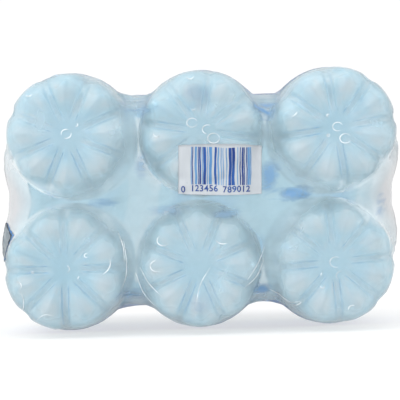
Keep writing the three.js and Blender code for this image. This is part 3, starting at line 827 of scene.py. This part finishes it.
def distance_to_bottles(points):
    """How far each point is from the nearest bottle, taken as a body of revolution."""
    outline = np.array(OVER_FEET + WRAPPED_BODY, float)
    flat = points.reshape(-1, 3)
    nearest = np.full(len(flat), np.inf)
    for x, y, _ in SPOTS:
        radius = np.hypot(flat[:, 0] - x, flat[:, 1] - y)
        close = radius < RADIUS + NEAR_BOTTLE
        _, _, distance, _ = nearest_on(outline, radius[close], flat[close, 2])
        nearest[close] = np.minimum(nearest[close], distance)
    return nearest.reshape(points.shape[:-1])


def waves(u, v, seed, count, lengths, lean):
    """A sum of waves over u and v, with wavelengths between two lengths and a random lean about an angle."""
    draw = np.random.default_rng(seed)
    total = np.zeros_like(u)
    for _ in range(count):
        length = draw.uniform(*lengths)
        angle = lean + draw.normal(0, 0.35)
        phase = draw.uniform(0, 2 * math.pi)
        k = 2 * math.pi / length
        total += np.sin(k * (u * math.cos(angle) + v * math.sin(angle)) + phase)
    return total / math.sqrt(count / 2)


# The film's waves: their seed, how many, the shortest and longest, and the angle that they lean about.
SOFT_FOLDS = (11, 7, (16, 42), 0.2)
SHARP_CREASES = (23, 6, (14, 30), 0.5)
FINE_CREASES = (37, 8, (6, 14), 0.9)
FOLD_HEIGHT = 0.45
CREASE_HEIGHT = 0.22
FINE_HEIGHT = 0.07
# Where the film over the bases is crumpled: its middle and reach along X, and then along Y.
CRUMPLED = (12, 55, 38, 30)
CRUMPLE_SHARP = 0.38
CRUMPLE_FINE = 0.16
GATHERS = 34
GATHER_HEIGHT = 0.45
DEEPEST_ON_BOTTLE = -0.25
GROUND_GAP = 0.02


def wrinkle(film):
    """Creases in the film: soft folds where it hangs free, fine ones over the bases, gathers at the holes."""
    normal = outward(film)
    step = np.linalg.norm(np.roll(film, -1, axis=1) - film, axis=2)
    v = np.cumsum(step, axis=1).mean(axis=0)[None, :] * np.ones((film.shape[0], 1))
    u = film[..., 0]
    free = smoothstep(distance_to_bottles(film), 0.8, 4.0)
    folds = waves(u, v, *SOFT_FOLDS)
    creases = 1 - 2 * np.abs(np.clip(waves(u, v, *SHARP_CREASES), -1, 1))
    fine = waves(u, v, *FINE_CREASES)
    on_bases = smoothstep(film[..., 2], 24, 2)
    x, reach_x, y, reach_y = CRUMPLED
    crumpled = on_bases * np.exp(-((u - x) / reach_x) ** 2 - ((film[..., 1] - y) / reach_y) ** 2)
    at_rims = np.exp(-np.minimum(np.arange(len(film)), np.arange(len(film))[::-1]) / 5.0)[:, None]
    angle = np.arctan2(film[..., 2] - HOLE_MIDDLE, film[..., 1])
    gathers = np.sin(angle * GATHERS + 2.0 * np.sin(angle * 5)) * smoothstep(np.abs(u), 84, 96)
    lift = FOLD_HEIGHT * free * folds + CREASE_HEIGHT * (0.35 + 0.65 * free) * creases + FINE_HEIGHT * fine
    crumples = CRUMPLE_SHARP * crumpled * creases + CRUMPLE_FINE * crumpled * fine
    lift += crumples + GATHER_HEIGHT * at_rims * gathers
    # It is smoother where it turns round the pack's ends between the bases.
    lift *= 1 - 0.8 * smoothstep(np.abs(u), 84, 95) * smoothstep(film[..., 2], 75, 45)
    lift = np.where(free < 0.5, np.maximum(lift, DEEPEST_ON_BOTTLE), lift)
    film = film + normal * lift[..., None]
    # It stays above the ground.
    film[..., 1] = np.minimum(film[..., 1], MIDDLE_Z - FILM_HALF_THICKNESS - GROUND_GAP)
    film[..., 0] = np.clip(film[..., 0], -FILM_REACH, FILM_REACH)
    return film


def add_film():
    """The film as a thin closed sleeve. Gives what finds a point on its outer face."""
    film = wrinkle(tight_film())
    normal = outward(film)
    outer = film + normal * FILM_HALF_THICKNESS
    inner = film - normal * FILM_HALF_THICKNESS
    rows, columns = film.shape[:2]
    points = np.concatenate([outer.reshape(-1, 3), inner.reshape(-1, 3)])
    sides = sheet_faces(rows, columns, closed=True)
    back = rows * columns
    edges = []
    for c in range(columns):
        d = (c + 1) % columns
        last = (rows - 1) * columns
        edges.append((c, c + back, d + back, d))
        edges.append((last + c, last + d, last + d + back, last + c + back))
    sleeve = mesh_object("film_sleeve", points, sides + edges, film_material(), "shrink_film")
    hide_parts("film")
    return BVHTree.FromPolygons(outer.reshape(-1, 3).tolist(), sides[:len(sides) // 2])


IN_FRONT = -40
TRIES = 60
STEP_IN = 0.05


def first_hit(tree, x, y):
    """Where a line along T from in front of the bases meets the film, and the way the film faces there."""
    return tree.ray_cast(Vector((x, y, IN_FRONT)), Vector((0, 0, 1)))[:2]


def on_film(tree, x, y, lift):
    """The film at x and y or, past its edge, just inside it, lifted a little off its outer face."""
    for _ in range(TRIES):
        hit, facing = first_hit(tree, x, y)
        if hit is not None:
            facing = np.array(facing)
            return np.array(hit) - facing * np.sign(facing[2]) * lift
        x -= STEP_IN * np.sign(x)
    raise ValueError("no film there")


# The bar code panel on the film over the bases, with plain bars and the digits 0 to 9 in order.
PANEL_X = 10.0
PANEL_Y = -13.9
PANEL_WIDTH = 41.0
PANEL_HEIGHT = 23.7
PANEL_TURN = math.radians(1.5)
PANEL_BOW = 0.75
PANEL_ROWS = 24
PANEL_COLUMNS = 40
PANEL_LIFT = 0.10
PANEL_THICKNESS = 0.12
PANEL_TOP = PANEL_LIFT + PANEL_THICKNESS
INK_LOW = PANEL_TOP + 0.03
INK_HIGH = PANEL_TOP + 0.10
BAR_LEFT = -14.3
BAR_RIGHT = 15.5
BAR_TOP = -10.9
BAR_BOTTOM = 7.6
BAR_SPREAD = 0.16
BAR_ROWS = 26
PALE_SHARE = 0.42
MODULES = 95


def panel_point(tree, across, down, lift):
    """A place on the panel, across and down from its middle, as a point just off the film."""
    c, s = math.cos(PANEL_TURN), math.sin(PANEL_TURN)
    x = PANEL_X + across * c - down * s
    y = PANEL_Y + across * s + down * c
    return on_film(tree, x, y, lift)


def ink_waver(across, down):
    """How far the film's shrinking has moved the print sideways and down at a place."""
    sideways = 0.13 * math.sin(down / 3.1 + across * 0.55) + 0.05 * math.sin(down / 1.3 - across * 0.9 + 1)
    downward = 0.28 * math.sin(across / 4.2 + 0.6) + 0.12 * math.sin(across / 1.7)
    return sideways, downward


def slab(tree, places, rows, columns, low, high):
    """A thin plate on the panel from a grid of [across, down] places, between two lifts off the film."""
    points = [panel_point(tree, a, d, high) for a, d in places]
    points += [panel_point(tree, a, d, low) for a, d in places]
    back = rows * columns
    faces = sheet_faces(rows, columns)
    rim = list(range(columns)) + [r * columns + columns - 1 for r in range(1, rows)]
    rim += [(rows - 1) * columns + c for c in range(columns - 2, -1, -1)]
    rim += [r * columns for r in range(rows - 2, 0, -1)]
    for a, b in zip(rim, rim[1:] + rim[:1]):
        faces.append((a, b, b + back, a + back))
    return points, faces


def bar_edges():
    """The left and right edges of the bars, in modules: a made-up pattern between two guard bars."""
    draw = np.random.default_rng(5)
    widths = [1, 1, 1]
    while sum(widths) < MODULES - 7:
        widths.append(int(draw.choice([1, 2, 3, 4], p=[0.34, 0.32, 0.20, 0.14])))
    if len(widths) % 2 == 0:
        widths.append(2)
    widths += [1, 1, 1]
    edges = np.concatenate([[0], np.cumsum(widths)]).astype(float)
    edges *= MODULES / edges[-1]
    return list(zip(edges[0:-1:2], edges[1::2]))


def add_panel(tree):
    white = ink_material("panel_white", (0.45, 0.485, 0.52), (0.475, 0.51, 0.545))
    navy = ink_material("bar_ink", (0.0005, 0.022, 0.17), (0.010, 0.08, 0.31), 0.03)
    pale = ink_material("smeared_ink", (0.05, 0.19, 0.42), (0.18, 0.34, 0.56), 0.05)

    places = []
    for row in range(PANEL_ROWS):
        for column in range(PANEL_COLUMNS):
            across = (column / (PANEL_COLUMNS - 1) - 0.5) * PANEL_WIDTH
            down = (row / (PANEL_ROWS - 1) - 0.5) * PANEL_HEIGHT
            # Its top and bottom edges bow outwards.
            outwards = {0: -1, PANEL_ROWS - 1: 1}.get(row, 0)
            places.append((across, down + outwards * PANEL_BOW * (1 - (2 * across / PANEL_WIDTH) ** 2)))
    plate = slab(tree, places, PANEL_ROWS, PANEL_COLUMNS, PANEL_LIFT, PANEL_TOP)
    panel = mesh_object("panel_print", *plate, white, "white_print")
    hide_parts("barcode_panel")

    dark_bars, pale_bars = [], []
    draw = np.random.default_rng(8)
    for left, right in bar_edges():
        edges = (left - BAR_SPREAD, right + BAR_SPREAD)
        ends = [BAR_LEFT + edge / MODULES * (BAR_RIGHT - BAR_LEFT) for edge in edges]
        places = []
        for row in range(BAR_ROWS):
            down = BAR_TOP + row / (BAR_ROWS - 1) * (BAR_BOTTOM - BAR_TOP)
            for across in ends:
                sideways, downward = ink_waver(across, down)
                places.append((across + sideways, down + downward))
        bars = pale_bars if draw.random() < PALE_SHARE else dark_bars
        bars.append(slab(tree, places, BAR_ROWS, 2, INK_LOW, INK_HIGH))
    mesh_object("bars_dark", *joined(dark_bars), navy, smooth=False)
    mesh_object("bars_pale", *joined(pale_bars), pale, smooth=False)
    add_digits(tree, navy)


DIGITS = "0 123456 789012"
# The digits' size, against the height that the font draws them at, and how much bolder they are.
DIGIT_SCALE = (3.1, 0.73)
DIGIT_BOLDER = 0.016
DIGIT_PITCH = 2.28
DIGITS_DOWN = 10.9
DIGITS_LEFT = -19.2


def add_digits(tree, material):
    """Plain digits under the bars, as thin plates that follow the film."""
    digits = []
    for place, digit in enumerate(DIGITS):
        if digit == " ":
            continue
        curve = bpy.data.curves.new("digit", "FONT")
        curve.body = digit
        curve.extrude = 0.01
        curve.offset = DIGIT_BOLDER
        curve.resolution_u = 6
        holder = bpy.data.objects.new("digit", curve)
        bpy.context.scene.collection.objects.link(holder)
        flat = bpy.data.meshes.new_from_object(holder.evaluated_get(bpy.context.evaluated_depsgraph_get()))
        points = []
        height, drawn = DIGIT_SCALE
        for vertex in flat.vertices:
            across = DIGITS_LEFT + place * DIGIT_PITCH + vertex.co.x * height / drawn
            down = DIGITS_DOWN - vertex.co.y * height / drawn
            sideways, downward = ink_waver(across, down)
            lift = INK_HIGH if vertex.co.z > 0 else INK_LOW
            points.append(panel_point(tree, across + 0.5 * sideways, down + downward, lift))
        digits.append((points, [polygon.vertices[:] for polygon in flat.polygons]))
        bpy.data.objects.remove(holder)
        bpy.data.curves.remove(curve)
        bpy.data.meshes.remove(flat)
    mesh_object("digits", *joined(digits), material, smooth=False)


# Print on the film at the pack's left end: a grey wedge with a dark edge and a ragged blue fringe, by how far
# across the pack it lies, its width there and the fringe's width.
WEDGE = [(9.8, 0.9, 0.2), (13.0, 3.4, 0.9), (16.4, 5.8, 2.3), (21.4, 4.0, 1.8), (24.9, 3.4, 1.4),
         (28.0, 3.2, 1.6), (30.2, 2.9, 0.4)]
WEDGE_ROWS = 48
WEDGE_COLUMNS = 20
WEDGE_GLOSS = 0.1
# The field and the fringe lie low and the dark edges over them. A gap is left beside the film's edge, and
# between the field and the fringe.
STRIP_LOW = 0.16
STRIP_HIGH = 0.23
STRIP_THICKNESS = 0.05
STRIP_GAP = 0.1
# Where to look for the film's edge, in what steps, and how far back it may lie.
EDGE_SEARCH = (-103.0, -80.0, 0.1)
EDGE_DEPTH = 60


def film_edge(tree, y):
    """How far along -X the film reaches at y, seen straight at the bases."""
    for x in np.arange(*EDGE_SEARCH):
        hit = first_hit(tree, x, y)[0]
        if hit is not None and hit.z < EDGE_DEPTH:
            return x
    raise ValueError("no edge there")


def end_strip(tree, name, material, edges, near, far, lift):
    """A thin plate on the film between two distances from its edge, given for each y."""
    points = []
    for high in (lift + STRIP_THICKNESS, lift):
        for y, edge in edges:
            for share in np.linspace(0, 1, WEDGE_COLUMNS):
                points.append(on_film(tree, edge + near(y) + share * (far(y) - near(y)), y, high))
    mesh_object(name, points, sheet_faces(WEDGE_ROWS, WEDGE_COLUMNS), material)


def add_end_print(tree):
    grey = ink_material("print_grey", (0.20, 0.24, 0.27), (0.36, 0.40, 0.42), gloss=WEDGE_GLOSS)
    navy = ink_material("print_navy", (0.002, 0.008, 0.02), (0.012, 0.035, 0.07), gloss=WEDGE_GLOSS)
    blue = ink_material("print_blue", (0.02, 0.12, 0.38), (0.08, 0.26, 0.56), gloss=WEDGE_GLOSS)
    across, widths, fringes = np.array(WEDGE).T
    edges = [(y, film_edge(tree, y)) for y in np.linspace(across[0], across[-1], WEDGE_ROWS)]

    def width(y):
        return float(np.interp(y, across, widths)) + 0.25 * math.sin(y * 2.7) * math.sin(y * 1.1)

    def fringe(y):
        ragged = 0.5 + 0.5 * math.sin(y * 5.3) * math.sin(y * 2.1 + 1)
        return width(y) + STRIP_GAP + float(np.interp(y, across, fringes)) * (0.35 + 0.65 * ragged)

    strips = [("field", grey, lambda y: STRIP_GAP, width, STRIP_LOW),
              ("edge", navy, lambda y: width(y) - 0.9 - 0.4 * math.sin(y * 1.7), width, STRIP_HIGH),
              ("rim", navy, lambda y: STRIP_GAP, lambda y: 0.3 + 0.15 * math.sin(y * 3.1), STRIP_HIGH),
              ("fringe", blue, lambda y: width(y) + STRIP_GAP, fringe, STRIP_LOW)]
    for name, ink, near, far, lift in strips:
        end_strip(tree, f"end_print_{name}", ink, edges, near, far, lift)


# Pale rings, painted highlights where small bubbles and beads of water show in the film: the bottle, how far
# right of its axis and above it, the radius, and the part of the turn that shows, from and to in degrees.
BUBBLES = [
    (2, -4.6, 4, 2.6, 20, 350), (2, 5.8, -3.9, 2.9, 0, 360), (2, -3.8, 10.9, 0.9, 200, 380),
    (2, -22, -1.1, 1.7, 150, 330), (2, -5, 27, 1.7, 180, 360), (2, 3, 0.5, 2.6, 60, 260),
    (3, 3.8, -5.7, 2.7, 30, 330), (3, -4.4, 5.8, 0.7, 0, 300), (3, -4.5, -4, 0.7, 0, 360),
    (3, -23, 8.6, 3.4, 280, 350), (3, 0.2, 0.2, 2.5, 20, 300), (1, 5.1, 4.4, 0.9, 250, 430),
    (1, 0.2, 0.2, 2.5, 60, 200), (1, 0.1, 0, 2.5, 250, 380), (1, -18, 20.5, 1.6, 200, 340),
    (6, 0.4, 0.2, 3, 60, 290), (6, 3.2, -6.6, 2.8, 90, 220), (6, -5.6, -5.9, 1.6, 130, 200),
    (6, -6.6, -11.6, 1, 150, 400), (6, 8, -23, 2, 60, 200), (6, -21, -17, 4.6, 250, 330),
    (4, 0.4, 0.2, 2.4, 300, 420), (4, 11.4, 6.6, 1.1, 60, 300), (4, -15.2, -1, 0.6, 0, 360),
    (4, 8.4, -4.6, 1.5, 120, 200), (4, 15, 3, 8, -60, 20), (4, -23.6, -7.6, 2.6, -40, 90),
    (5, -17.5, 13, 3, 120, 330), (5, -21, 0.5, 3.2, 90, 300), (5, 12, 14, 4, 200, 300),
]
# Creases that catch the light, as runs of places in millimetres right of the middle and above it.
CREASES = [
    [(-38.5, -20), (-37.4, -30), (-38, -38), (-40.5, -44)],
    [(-41, -16), (-38.8, -23), (-38.4, -31)],
    [(-90.6, -42), (-88.6, -47), (-89.4, -53), (-92.2, -55)],
    [(-83, -58.6), (-78.5, -55.4), (-73.4, -56)],
    [(-33, -36), (-29.5, -46), (-24, -53)],
    [(-31, -33), (-26, -42), (-20, -48)],
    [(22, -41), (27.5, -33), (31, -25)],
    [(20, -45), (26.5, -39.5), (30.5, -31)],
    [(33, -46), (38, -48.8), (43, -52.5), (48, -52)],
    [(-4, -54), (-1, -42), (4, -34)],
]
BUBBLE_THICKNESS = 0.24
BUBBLE_POINTS = 20
BUBBLE_FLATNESS = 0.85
CREASE_THICKNESS = 0.18
CREASE_POINTS = 24
THREAD_LIFT = 0.02
THREAD_SIDES = 6


def thread(tree, places, thickness):
    """A fine closed thread along places on the film, as points and faces. It tapers at both ends."""
    centres = [on_film(tree, x, y, THREAD_LIFT) for x, y in places]
    angle = np.linspace(0, 2 * math.pi, THREAD_SIDES, endpoint=False)[:, None]
    rings = []
    for k, centre in enumerate(centres):
        ahead = centres[min(k + 1, len(centres) - 1)] - centres[max(k - 1, 0)]
        ahead /= max(np.linalg.norm(ahead), 1e-6)
        side = np.cross(ahead, (0, 0, 1.0))
        side /= max(np.linalg.norm(side), 1e-6)
        taper = math.sin(math.pi * (k + 0.5) / len(centres)) ** 0.5
        around = np.cos(angle) * side + np.sin(angle) * np.cross(side, ahead)
        rings.append(centre + thickness * taper * around)
    return closed_tube(rings, centres[0], centres[-1])


def add_bubble_and_crease_glints(tree):
    m = Material("bubble_and_crease_highlights", IOR=1.33)
    # Pale, partly clear threads: painted highlights on the rims of the bubbles and along the creases.
    m.link(m.ramp(m.noise(400, 2), (0.3, (0.76, 0.82, 0.86)), (0.7, (0.94, 0.95, 0.96))), "Base Color")
    m.link(m.range(m.noise(220, 2), 0.40, 0.56, 0.5, 1.0), "Alpha")
    m.finish(300, 0.1, 0.3)
    threads = []
    for bottle, right, above, radius, start, end in BUBBLES:
        x, y, _ = SPOTS[bottle - 1]
        angles = np.radians(np.linspace(start, end, BUBBLE_POINTS))
        high = BUBBLE_FLATNESS * radius
        places = [(x + right + radius * math.cos(a), y - above - high * math.sin(a)) for a in angles]
        threads.append(thread(tree, places, BUBBLE_THICKNESS))
    for crease in CREASES:
        places = [(x, -up) for x, up in smooth_line(crease, CREASE_POINTS)]
        threads.append(thread(tree, places, CREASE_THICKNESS))
    mesh_object("bubble_and_crease_glints", *joined(threads), m.data)


# The stage, light and camera, in metres.
scene = bpy.context.scene
FLOOR_LEVEL = -0.0005
STAGE_FRONT = -4
STAGE_DEPTH = 3.2
STAGE_SIDE = 5
STAGE_TOP = 4.0
STAGE_GREY = (0.34, 0.34, 0.34, 1)
STAGE_GLOW = 0.62
COVE_RADIUS = 0.8
WHITE = (1, 1, 1, 1)
SKY_STRENGTH = 1.1
KEY_PLACE = (-0.8, -1.4, 1.5)
KEY_AIM = (0, 0, 0.07)
KEY_SIZE = 2.4
KEY_POWER = 24
LIGHT_BOUNCES = 32


def add_stage():
    """A pale floor that curves up into a wall far behind the pack."""
    profile = [(y, FLOOR_LEVEL) for y in (STAGE_FRONT, -1, 0, STAGE_DEPTH)]
    for angle in np.linspace(0, math.pi / 2, 10)[1:]:
        rise = COVE_RADIUS * (1 - math.cos(angle))
        profile.append((STAGE_DEPTH + COVE_RADIUS * math.sin(angle), FLOOR_LEVEL + rise))
    profile.append((STAGE_DEPTH + COVE_RADIUS, STAGE_TOP))
    points = [(x, y, z) for y, z in profile for x in (-STAGE_SIDE, STAGE_SIDE)]
    floor = Material("stage_white", Base_Color=STAGE_GREY, Roughness=0.9)
    floor.set(Emission_Color=WHITE, Emission_Strength=STAGE_GLOW)
    faces = [face[::-1] for face in grid_faces(len(profile), 2)]
    stage = plain_object("stage_floor", points, faces, floor.data)


def add_light():
    sky = bpy.data.worlds.new("white_sky")
    scene.world = sky
    sky.use_nodes = True
    background = sky.node_tree.nodes["Background"].inputs
    background["Color"].default_value = WHITE
    background["Strength"].default_value = SKY_STRENGTH
    lamp = bpy.data.lights.new("key", "AREA")
    lamp.shape = "RECTANGLE"
    lamp.size = KEY_SIZE
    lamp.size_y = KEY_SIZE
    lamp.energy = KEY_POWER
    key = bpy.data.objects.new("key", lamp)
    scene.collection.objects.link(key)
    key.location = KEY_PLACE
    aim = Vector(KEY_AIM) - key.location
    key.rotation_euler = aim.to_track_quat("-Z", "Y").to_euler()


CAMERA_DISTANCE = 1.08
HUB_HEIGHT = 0.0065
PHOTO_WIDTH = 0.198
CAMERA_ASIDE = (-0.00026, -0.00083)
CAMERA_ROLL = math.radians(1.5)


def add_camera():
    """The photograph looks straight at the bases, and is 400 pixels or 198 mm wide at their middles."""
    data = bpy.data.cameras.new("camera")
    camera = bpy.data.objects.new("camera", data)
    scene.collection.objects.link(camera)
    scene.camera = camera
    data.sensor_width = 36
    data.lens = data.sensor_width * (CAMERA_DISTANCE + HUB_HEIGHT) / PHOTO_WIDTH
    data.clip_start = 0.01
    data.clip_end = 20
    aside, up = CAMERA_ASIDE
    camera.location = (aside, BASE_Y / 1000 - CAMERA_DISTANCE, MIDDLE_Z / 1000 + up)
    camera.rotation_euler = (math.pi / 2, CAMERA_ROLL, 0)


add_stage()
add_light()
add_camera()
add_bottles()
film_tree = add_film()
add_panel(film_tree)
add_end_print(film_tree)
add_bubble_and_crease_glints(film_tree)

scene.view_settings.view_transform = "Standard"
for limit in ("max_bounces", "transmission_bounces", "transparent_max_bounces"):
    setattr(scene.cycles, limit, LIGHT_BOUNCES)
scene.cycles.use_denoising = True
